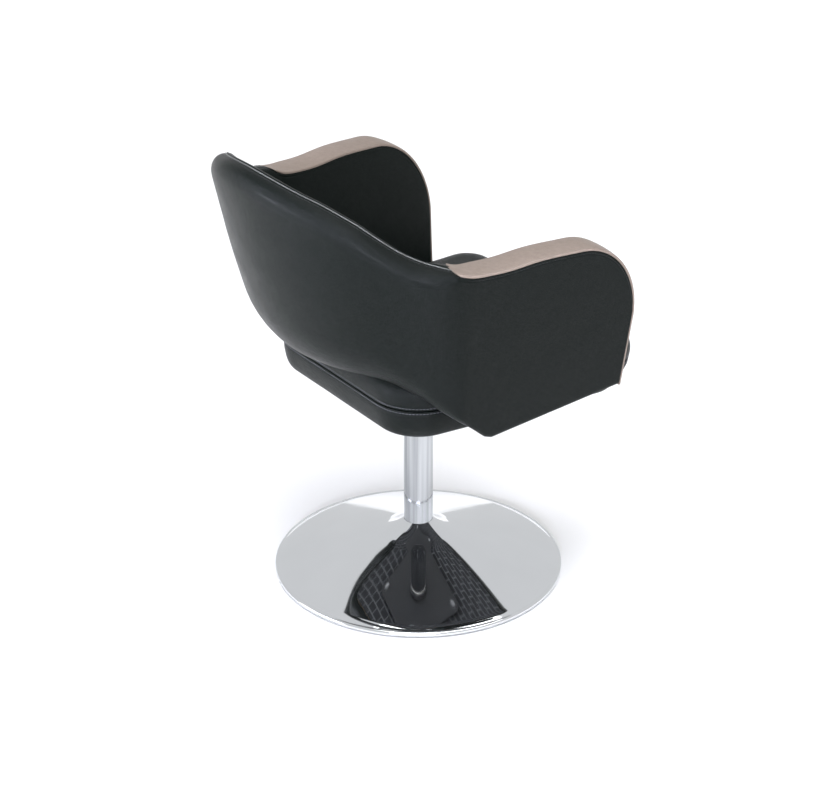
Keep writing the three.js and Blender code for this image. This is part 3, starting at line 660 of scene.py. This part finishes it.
def band_stops():
    """Stops from the slanted rear end to the foot: s, and a function giving the place at an inset."""
    stops = []
    for u in (0, 0.08, 0.2, 0.35, 0.55, 0.8, 1):
        s = BAND_START_S + 0.8 + BAND_END_RUN * u
        lean = BAND_CUT * (1 - u) ** 1.6

        def crest_place(inset, s=s, lean=lean):
            place = s + lean * inset / BAND_THICK
            return place, crest_height(place) - inset

        stops.append((s, crest_place))
    for s in steps(BAND_START_S + BAND_END_RUN + 7, FRONT_CENTRE[0], 30):
        stops.append((s, lambda inset, s=s: (s, crest_height(s) - inset)))
    for turn in steps(0, 1, FRONT_STEPS)[1:]:
        stops.append((FRONT_CENTRE[0], lambda inset, turn=turn: front_edge(turn, inset)))
    for t in steps(0, 1, 16)[1:]:
        def front_place(inset, t=t):
            high_s, high_z = front_edge(1, inset)
            return mix(high_s, FRONT_FOOT[0] - inset, t), mix(high_z, hem_height(FRONT_FOOT[0] - inset), t)

        stops.append((FRONT_CENTRE[0], front_place))
    return stops


def edge_turn(radius):
    """Inset and depth round the edge of a band, from its underside to its top."""
    last = acos(max(1 - BAND_THICK / radius, 0))
    rows = [(radius * (1 - cos(angle)), radius * (1 - sin(angle))) for angle in steps(last, 0, 7)]
    underside = 0 if BAND_THICK > radius + 0.5 else rows[0][1] + 0.05
    return [(BAND_THICK, underside)] + rows


def band_ring(stop, side, shrink=0.0):
    """The band's section at one stop. Shrink draws it in a little, to close its rear end."""
    s, place = stop
    outer_radius = max(crest_roll(s), BAND_INNER_RADIUS)
    ring = [(BAND_THICK + 0.1, edge_turn(outer_radius)[0][1] + 1.2)] + edge_turn(outer_radius)
    inside = pad_depth(s, 0)
    for t in steps(0, 1, 12)[1:-1]:
        ring.append((-BAND_CROWN * sin(pi * t) ** 0.8, mix(outer_radius, inside - BAND_INNER_RADIUS, t)))
    ring += [(inset, inside - depth) for inset, depth in reversed(edge_turn(BAND_INNER_RADIUS))]
    ring.append((BAND_THICK + 0.1, inside - 1.2))
    middle = inside / 2
    return [
        wall_point(*place(mix(inset, BAND_THICK / 2, shrink)), mix(depth, middle, shrink * 0.06), side)
        for inset, depth in ring
    ]


def build_bands():
    stops = band_stops()
    for label, side in SIDES:
        rings = [band_ring(stops[0], side, 0.5)] + [band_ring(stop, side) for stop in stops]
        vertices, faces = loft(rings)
        faces = faces if side < 0 else turned_inside_out(faces)
        band = make_object(f"arm_edge_{label}", vertices, faces, TAUPE_LEATHER, sharp=60)
        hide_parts(f"arm_band_{label}")


# ---- Seat ----

def seat_side(y):
    return SEAT_SIDE_X + SEAT_SPLAY * (SEAT_SIDE_Y - y)


def seat_outline(inset, front_cut=0.0, count=SEAT_POINTS):
    """Evenly spaced points round the seat, from the middle of the rear, anticlockwise seen from above."""
    rear_y, front_y = SEAT_REAR_Y - SEAT_REAR_CORNER, SEAT_FRONT_Y + SEAT_FRONT_CORNER + front_cut
    rear_x, front_x = seat_side(rear_y) - SEAT_REAR_CORNER, seat_side(front_y) - SEAT_FRONT_CORNER
    corners = [
        (-rear_x, rear_y, SEAT_REAR_CORNER), (-front_x, front_y, SEAT_FRONT_CORNER),
        (front_x, front_y, SEAT_FRONT_CORNER), (rear_x, rear_y, SEAT_REAR_CORNER),
    ]
    line = [(0.0, SEAT_REAR_Y - inset)]
    for i, (x, y, radius) in enumerate(corners):
        before, after = corners[i - 1], corners[(i + 1) % 4]
        start, end = edge_normal(before, corners[i]), edge_normal(corners[i], after)
        turn = (end - start) % (2 * pi)
        for angle in steps(start, start + turn, 24):
            line.append((x + (radius - inset) * cos(angle), y + (radius - inset) * sin(angle)))
    line.append(line[0])
    return evenly(line, count)


def edge_normal(a, b):
    """Direction of the outward normal of the straight line that touches two corner arcs."""
    distance = hypot(b[0] - a[0], b[1] - a[1])
    return atan2(b[1] - a[1], b[0] - a[0]) - pi / 2 - asin((b[2] - a[2]) / distance)


def evenly(line, count):
    """Points at equal distances along a closed line."""
    lengths = [0.0]
    for a, b in zip(line, line[1:]):
        lengths.append(lengths[-1] + hypot(b[0] - a[0], b[1] - a[1]))
    points, k = [], 0
    for i in range(count):
        target = lengths[-1] * i / count
        while lengths[k + 1] < target:
            k += 1
        t = (target - lengths[k]) / (lengths[k + 1] - lengths[k])
        points.append((mix(line[k][0], line[k + 1][0], t), mix(line[k][1], line[k + 1][1], t)))
    return points


def seat_ring(inset, z, front_cut=0.0, shrink=1.0, crown=0.0, swell=1.0):
    """A ring round the seat, drawn in to its middle by shrink. Swell is how uneven the stuffing is."""
    ring = []
    for x, y in seat_outline(inset, front_cut):
        wander = SEAT_WANDER * swell * noise.noise(Vector((x / 70, y / 70, z / 45)))
        reach = 1 + wander / 220
        x, y = x * shrink * reach, SEAT_MIDDLE_Y + (y - SEAT_MIDDLE_Y) * shrink * reach
        ring.append(Vector((x, y, z + crown * (1 - shrink ** 2) + wander * 0.5 * (shrink < 1))) * MM)
    return ring


def spline(p, q, r, u, t):
    """A smooth step between q and r, with p before them and u after them."""
    square = 2 * p - 5 * q + 4 * r - u
    cube = 3 * q - p - 3 * r + u
    return 0.5 * (2 * q + (r - p) * t + square * t ** 2 + cube * t ** 3)


def finer(levels, count=4):
    """Levels with smooth steps put in between them."""
    rows = [levels[0]]
    for i in range(len(levels) - 1):
        before, after = levels[max(i - 1, 0)], levels[min(i + 2, len(levels) - 1)]
        for t in steps(0, 1, count)[1:]:
            around = zip(before, levels[i], levels[i + 1], after)
            rows.append(tuple(spline(*values, t) for values in around))
    return rows


# The seat from its underside to its top: inset, height and, under the seam, how far the front is cut back
SEAT_BASE_LEVELS = [
    (22, 357.5, 28.5), (16, 358.0, 28), (10.5, 361.6, 26), (6.6, 367.4, 22.8), (3.8, 375, 18),
    (1.6, 385.4, 11.5), (0.4, 395, 6), (0.3, 400.5, 3.2),
]
SEAM_LOW_STITCH, SEAM_HIGH_STITCH = (1.25, 404.7, 2), (1.25, 413.3)
SEAM_LOW_LEVELS = [
    (0.3, 400.5, 3.2), (0.5, 402.6, 2.6), (1.1, 404, 2.2), SEAM_LOW_STITCH, (1.1, 405.4, 1.8),
    (0.9, 406.6, 1.2), (1.5, 407.8, 0.8), (3.2, 408.6, 0.4), (6, 408.8, 0),
]
SEAM_HIGH_LEVELS = [
    (6, 409.2), (3.2, 409.5), (1.5, 410.2), (0.9, 411.4),
    (1.1, 412.6), SEAM_HIGH_STITCH, (1.1, 414), (0.5, 415.4),
]
SEAT_SIDE_LEVELS = [
    (0.2, 418), (0, 425), (0.9, 432.5), (3.6, 440), (8.6, 446.2), (16, 450.6), (26, 453.2), (36, 454.6),
]
TOP_SHRINKS = (0.96, 0.91, 0.85, 0.78, 0.70, 0.61, 0.51, 0.40, 0.28, 0.15, 0.05)


def build_seat_base():
    low = [seat_ring(BOARD_EDGE, z, BOARD_FRONT_CUT, swell=0) for z in (BOARD_HIGH, BOARD_LOW)]
    low += [seat_ring(*level, swell=0.6) for level in finer(SEAT_BASE_LEVELS)[:-1]]
    low += [seat_ring(*level, swell=0.3) for level in SEAM_LOW_LEVELS]
    vertices, faces = loft(low)
    base = make_object("seat_underpad", vertices, faces, BLACK_LEATHER, sharp=70)
    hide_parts("seat_base_pad")


def build_seat_top():
    high = [seat_ring(*level, swell=0.3) for level in SEAM_HIGH_LEVELS]
    high += [seat_ring(*level) for level in finer(SEAT_SIDE_LEVELS)]
    inset = SEAT_SIDE_LEVELS[-1][0]
    for shrink in TOP_SHRINKS:
        high.append(seat_ring(inset, SEAT_TOP_Z + 0.6, shrink=shrink, crown=SEAT_CROWN))
    vertices, faces = loft(high)
    cushion = make_object("seat_top", vertices, faces, BLACK_LEATHER, sharp=70)
    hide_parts("seat_cushion")


# ---- Stitching and seam cord ----

# One stitch from end to end: place along it, lift and thickness
STITCH_FORM = [
    (-1, -0.7, 0.45), (-0.82, 0.0, 0.85), (-0.4, 0.3, 1), (0.4, 0.3, 1), (0.82, 0.0, 0.85), (1, -0.7, 0.45),
]


def stitches(name, line, normals, radius=0.42, material=THREAD, closed=False):
    """A row of short raised threads along a line of points, each held down at its ends."""
    if closed:
        line, normals = line + line[:1], normals + normals[:1]
    lengths = [0.0]
    for a, b in zip(line, line[1:]):
        lengths.append(lengths[-1] + (b - a).length)
    count = round(lengths[-1] / (STITCH_PITCH * MM))
    vertices, faces = [], []
    k = 0
    for i in range(count):
        middle = lengths[-1] * (i + 0.5) / count
        while lengths[k + 1] < middle:
            k += 1
        t = (middle - lengths[k]) / (lengths[k + 1] - lengths[k])
        centre = line[k].lerp(line[k + 1], t)
        up = normals[k].lerp(normals[k + 1], t).normalized()
        ahead = (line[k + 1] - line[k]).normalized()
        across = up.cross(ahead).normalized()
        rings = []
        for along, lift, thick in STITCH_FORM:
            spot = centre + (ahead * (along * STITCH_HALF) + up * (lift * radius)) * MM
            rings.append([
                spot + (across * cos(angle) + up * sin(angle)) * (radius * thick * MM)
                for angle in (k * pi / 3 for k in range(6))
            ])
        part, sides = loft(rings)
        start = len(vertices)
        vertices += part
        faces += [tuple(start + v for v in face) for face in sides]
    return make_object(name, vertices, faces, material)


def path_normals(line, beside):
    """Normals of a surface along a line, from the points beside it, on the left seen from outside."""
    normals = []
    for i, point in enumerate(line):
        ahead = line[min(i + 1, len(line) - 1)] - line[max(i - 1, 0)]
        normals.append(ahead.cross(beside[i] - point).normalized())
    return normals


def build_wall_stitches():
    """Rows beside the top seam of the outer leather and beside the band on the inside of the arms."""
    columns = wall_columns()

    def outer_row(run):
        rings = []
        for side in (-1, 1):
            row = []
            for column in columns if side > 0 else reversed(columns):
                s, length = column[0], column_length(column)
                radius = mix(crest_roll(s), SEAM_RADIUS, band_share(s))
                distance, depth = rolled_edge(run, radius, mix(crest_tall(s), 1, band_share(s)))
                depth += band_share(s) * arc_depth(BAND_EDGE, crest_roll(s), crest_tall(s)) + 0.5
                row.append(wall_point(*along_column(column, length - distance), depth, side))
            rings.append(row)
        return rings[0][:-1] + rings[1]

    line, beside = outer_row(STITCH_DROP), outer_row(STITCH_DROP - 1)
    stitches("topstitch_outer", line, path_normals(line, beside))

    columns = wall_columns(BAND_START_S + BAND_CUT)
    for label, side in SIDES:
        def inner_row(run):
            row = []
            for column in columns:
                depth = pad_depth(column[0], run + BAND_EDGE) - 0.4
                row.append(wall_point(*along_column(column, column_length(column) - run), depth, side))
            return row

        line, beside = inner_row(STITCH_DROP), inner_row(STITCH_DROP - 1)
        normals = [n * -side for n in path_normals(line, beside)]
        stitches(f"topstitch_inner_{label}", line, normals)


def build_seat_stitches():
    rows = (("seam_stitch_low", SEAM_LOW_STITCH), ("seam_stitch_high", SEAM_HIGH_STITCH))
    for name, (inset, *rest) in rows:
        line = seat_ring(inset - STITCH_PROUD, *rest, swell=0.3)
        normals = []
        for i, point in enumerate(line):
            ahead = line[(i + 1) % len(line)] - line[i - 1]
            normals.append(ahead.cross(Vector((0, 0, 1))).normalized())
        # The light grey thread paints the highlight lines beside the seat seam.
        stitches(name, line, normals, 0.5, SEAT_THREAD_PAINTED_HIGHLIGHT, closed=True)


def tube(name, line, radius, material):
    """A thin round cord along a line of points."""
    rings = []
    for i, point in enumerate(line):
        ahead = (line[min(i + 1, len(line) - 1)] - line[max(i - 1, 0)]).normalized()
        side = ahead.cross(Vector((0, 0, 1))).normalized()
        up = side.cross(ahead)
        angles = [2 * pi * k / 10 for k in range(10)]
        rings.append([point + (side * cos(angle) + up * sin(angle)) * (radius * MM) for angle in angles])
    vertices, faces = loft(rings)
    return make_object(name, vertices, turned_inside_out(faces), material)


def build_seam_cord():
    """The thin cord sewn into the top seam of the back, coloured light grey as a painted highlight along the
    seam.
    """
    columns = wall_columns(0, BAND_START_S + 3)
    line = []
    for side in (-1, 1):
        for column in reversed(columns) if side < 0 else columns[1:]:
            s, top = column[0], column[2]
            line.append(wall_point(s, top[1] - 0.1, crest_roll(s) + 1.6, side))
    # The cord's light grey colour is a painted highlight along the seam.
    tube("seam_cord", line, 1.15, SEAM_CORD_PAINTED_HIGHLIGHT)


# ---- Base, column and swivel ----

def build_base():
    """The spun cover: a rolled bead, a groove, a shallow cone and a flare up to the column."""
    bead = []
    for angle in steps(-0.9, radians(118), 16):
        r = COVER_RADIUS - BEAD_WIDE + BEAD_WIDE * cos(angle)
        bead.append((r, BEAD_CENTRE_Z + BEAD_HIGH * sin(angle)))
    groove = [(244.6, 9.6), (243.6, 9.9)]
    cone = [tuple(mix(a, b, t) for a, b in zip(CONE_RIM, CONE_TOP)) for t in steps(0, 1, 14)]
    flare = []
    for t in steps(0, 1, 14)[1:]:
        bends = zip(CONE_TOP, FLARE_BEND, NECK)
        flare.append(tuple((1 - t) ** 2 * a + 2 * t * (1 - t) * b + t * t * c for a, b, c in bends))
    outside = bead + groove + cone + flare
    inside = [(NECK[0], NECK[1] - 2.8), (31, 73), (60, 63.2), (240, 8.4), (243, 7), (245.6, 5.0), (246, 2)]
    vertices, faces = lathe(outside + inside, 256)
    cover = make_object("spun_cover", vertices, faces, SPUN_CHROME, "base", sharp=50)
    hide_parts("base_cover")


def build_column():
    r, bore, edge = COLUMN_RADIUS, COLUMN_RADIUS - COLUMN_WALL, 0.8
    profile = [(bore, TUBE_LOW), (r - edge, TUBE_LOW), (r, TUBE_LOW + edge)]
    profile += [(r, z) for z in steps(TUBE_LOW + 6, TUBE_HIGH - 6, 20)]
    profile += [(r, TUBE_HIGH - edge), (r - edge, TUBE_HIGH), (bore, TUBE_HIGH)]
    vertices, faces = lathe(profile, 128)
    column = make_object("column", vertices, faces, CHROME, "base", sharp=35)
    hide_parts("column_tube")


def rounded_ring(name, node, bore, radius, low, high, edge, material, body):
    """A turned ring with its outer edges rounded and its bore broken."""
    ease, broken = edge * 0.3, edge * 0.5
    profile = [
        (bore, low + broken), (bore + broken, low), (radius - edge, low), (radius - ease, low + ease),
        (radius, low + edge), (radius, high - edge), (radius - ease, high - ease), (radius - edge, high),
        (bore + broken, high), (bore, high - broken),
    ]
    vertices, faces = lathe(profile, 96)
    thing = make_object(name, vertices, faces, material, body, sharp=40)
    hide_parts(node)


def build_swivel():
    rounded_ring(
        "hub", "swivel_hub", bore=12.9, radius=28, low=337.8, high=351.8, edge=1.2,
        material=BLACK_STEEL, body="seat",
    )
    rounded_ring(
        "thrust_washer", "thrust_bearing", bore=13.1, radius=24, low=333.5, high=337.5, edge=0.6,
        material=STEEL, body="base",
    )


def build_lining():
    """Dust cloth stretched under the board, folded at its edge and stapled. The plate hides its opening."""
    edge = seat_outline(LINING_EDGE, BOARD_FRONT_CUT, LINING_POINTS)
    opening = []
    for x, y in edge:
        reach = LINING_OPENING / (abs(x) ** 8 + abs(y) ** 8) ** 0.125
        opening.append((x * reach, y * reach))

    def ring(t, z, sag):
        line = []
        for i, (outer, inner) in enumerate(zip(edge, opening)):
            pull = 0.5 - 0.5 * cos(2 * pi * i / 6)
            line.append(Vector((mix(outer[0], inner[0], t), mix(outer[1], inner[1], t), z - sag * pull)) * MM)
        return line

    # Share of the way in to the opening, height, and sag between the staples
    fold = LINING_FOLD
    under = [(0, 358.5, 0), (0.01, 358.1, 0.15), (fold - 0.01, 358.1, 0.25), (fold, 358.6, 0.3)]
    under += [(mix(fold, 1, t), LINING_LOW, 0.9 * (1 - t) ** 3) for t in (0.04, 0.1, 0.2, 0.35, 0.6, 1)]
    rings = [ring(*level) for level in under + [(1, LINING_HIGH, 0), (0, LINING_HIGH, 0)]]
    count = len(edge)
    vertices = [point for line in rings for point in line]
    faces = []
    for j in range(len(rings)):
        k = (j + 1) % len(rings)
        for i in range(count):
            n = (i + 1) % count
            faces.append((j * count + i, k * count + i, k * count + n, j * count + n))
    cloth = make_object("dust_lining", vertices, faces, LINING, "seat")
    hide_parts("seat_lining")


# ---- Nodes that keep the frame's own shape ----

NODE_FINISHES = {
    "floor_pad": RUBBER, "base_weight": IRON,
    "column_foot_plug": STEEL, "foot_washer": STEEL, "foot_bolt": STEEL,
    "upper_bush": NYLON, "lower_bush": NYLON, "swivel_spindle": STEEL, "spindle_clip": STEEL,
    "seat_plate": BLACK_STEEL, "seat_board": PLYWOOD, "shell_frame": PLYWOOD,
    "seat_rail_left": BEECH, "seat_rail_right": BEECH,
}


def finish_nodes():
    """Gives these nodes their detailed finishes. Every bolt is steel."""
    for name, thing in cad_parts.items():
        finish = STEEL if "bolt" in name else NODE_FINISHES.get(name)
        if finish is not None:
            for slot in thing.material_slots:
                slot.material = finish


build_wrap()
build_pads()
build_bands()
build_seat_base()
build_seat_top()
build_wall_stitches()
build_seat_stitches()
build_seam_cord()
build_base()
build_column()
build_swivel()
build_lining()
finish_nodes()


# ---- Studio ----

CAMERA_PLACE, CAMERA_TARGET = (-2.6634, 1.8416, 1.8996), (0, 0, 0.3265)
CAMERA_LENS, CAMERA_SENSOR, CAMERA_SHIFT = 92.37, 36, -0.00168
FLOOR_HALF, FLOOR_DROP = 30, 0.0005
SKY_COLOUR, SKY_STRENGTH = (0.97, 0.98, 1.0), 0.72
CEILING_POWER, CEILING_WIDTH, CEILING_DIRECTION = 1.55, radians(50), (0.12, 0.10, -1)

# Name, place, target, size, power, colour and spread
AREA_LIGHTS = [
    ("overhead", (-0.9, 0.7, 2.3), (0, 0, 0.6), (1.2, 0.5), 22, (0.93, 0.95, 1.0), 180),
    ("wall_left", (0.9, 3.0, 0.85), (0, 0.2, 0.7), (3.0, 0.5), 16, (0.84, 0.86, 1.0), 40),
    ("wall_right", (-2.6, 2.3, 0.95), (0, 0.2, 0.7), (2.4, 0.5), 13, (0.84, 0.86, 1.0), 40),
    ("rear_strip", (1.6, 2.2, 1.0), (0, 0.25, 0.6), (0.5, 1.6), 4, (1.0, 0.92, 0.84), 180),
]


def aim(thing, direction):
    """Turns a lamp or the camera to look in a direction, with its top up."""
    thing.rotation_euler = Vector(direction).to_track_quat("-Z", "Y").to_euler()


def area_light(name, place, target, size, power, colour, spread):
    light = bpy.data.lights.new(name, "AREA")
    light.shape = "RECTANGLE"
    light.size, light.size_y = size
    light.energy = power
    light.color = colour
    light.spread = radians(spread)
    lamp = bpy.data.objects.new(name, light)
    lamp.location = place
    aim(lamp, Vector(target) - Vector(place))
    bpy.context.scene.collection.objects.link(lamp)


def build_floor():
    """A white floor just under the chair."""
    floor_material, _, shader = new_material("studio_floor", (0.88, 0.88, 0.88), 0.9)
    shader.inputs["Specular IOR Level"].default_value = 0.1
    mesh = bpy.data.meshes.new("studio_floor")
    corners = [(FLOOR_HALF * x, FLOOR_HALF * y, 0) for x, y in ((-1, -1), (1, -1), (1, 1), (-1, 1))]
    mesh.from_pydata(corners, [], [(0, 1, 2, 3)])
    mesh.materials.append(floor_material)
    floor = bpy.data.objects.new("studio_floor", mesh)
    floor.location.z = -FLOOR_DROP
    bpy.context.scene.collection.objects.link(floor)


def build_lights():
    """A bright room: sky, a broad ceiling light and four lamps."""
    world = bpy.data.worlds.new("studio")
    world.use_nodes = True
    background = world.node_tree.nodes["Background"]
    background.inputs["Color"].default_value = (*SKY_COLOUR, 1)
    background.inputs["Strength"].default_value = SKY_STRENGTH
    bpy.context.scene.world = world

    ceiling = bpy.data.lights.new("ceiling", "SUN")
    ceiling.energy = CEILING_POWER
    ceiling.angle = CEILING_WIDTH
    lamp = bpy.data.objects.new("ceiling", ceiling)
    aim(lamp, CEILING_DIRECTION)
    bpy.context.scene.collection.objects.link(lamp)

    for settings in AREA_LIGHTS:
        area_light(*settings)


def build_camera():
    camera = bpy.data.cameras.new("camera")
    camera.lens = CAMERA_LENS
    camera.sensor_width = CAMERA_SENSOR
    camera.shift_x = CAMERA_SHIFT
    viewer = bpy.data.objects.new("camera", camera)
    viewer.location = CAMERA_PLACE
    aim(viewer, Vector(CAMERA_TARGET) - viewer.location)
    bpy.context.scene.collection.objects.link(viewer)
    bpy.context.scene.camera = viewer


build_floor()
build_lights()
build_camera()
bpy.context.scene.view_settings.view_transform = "Standard"
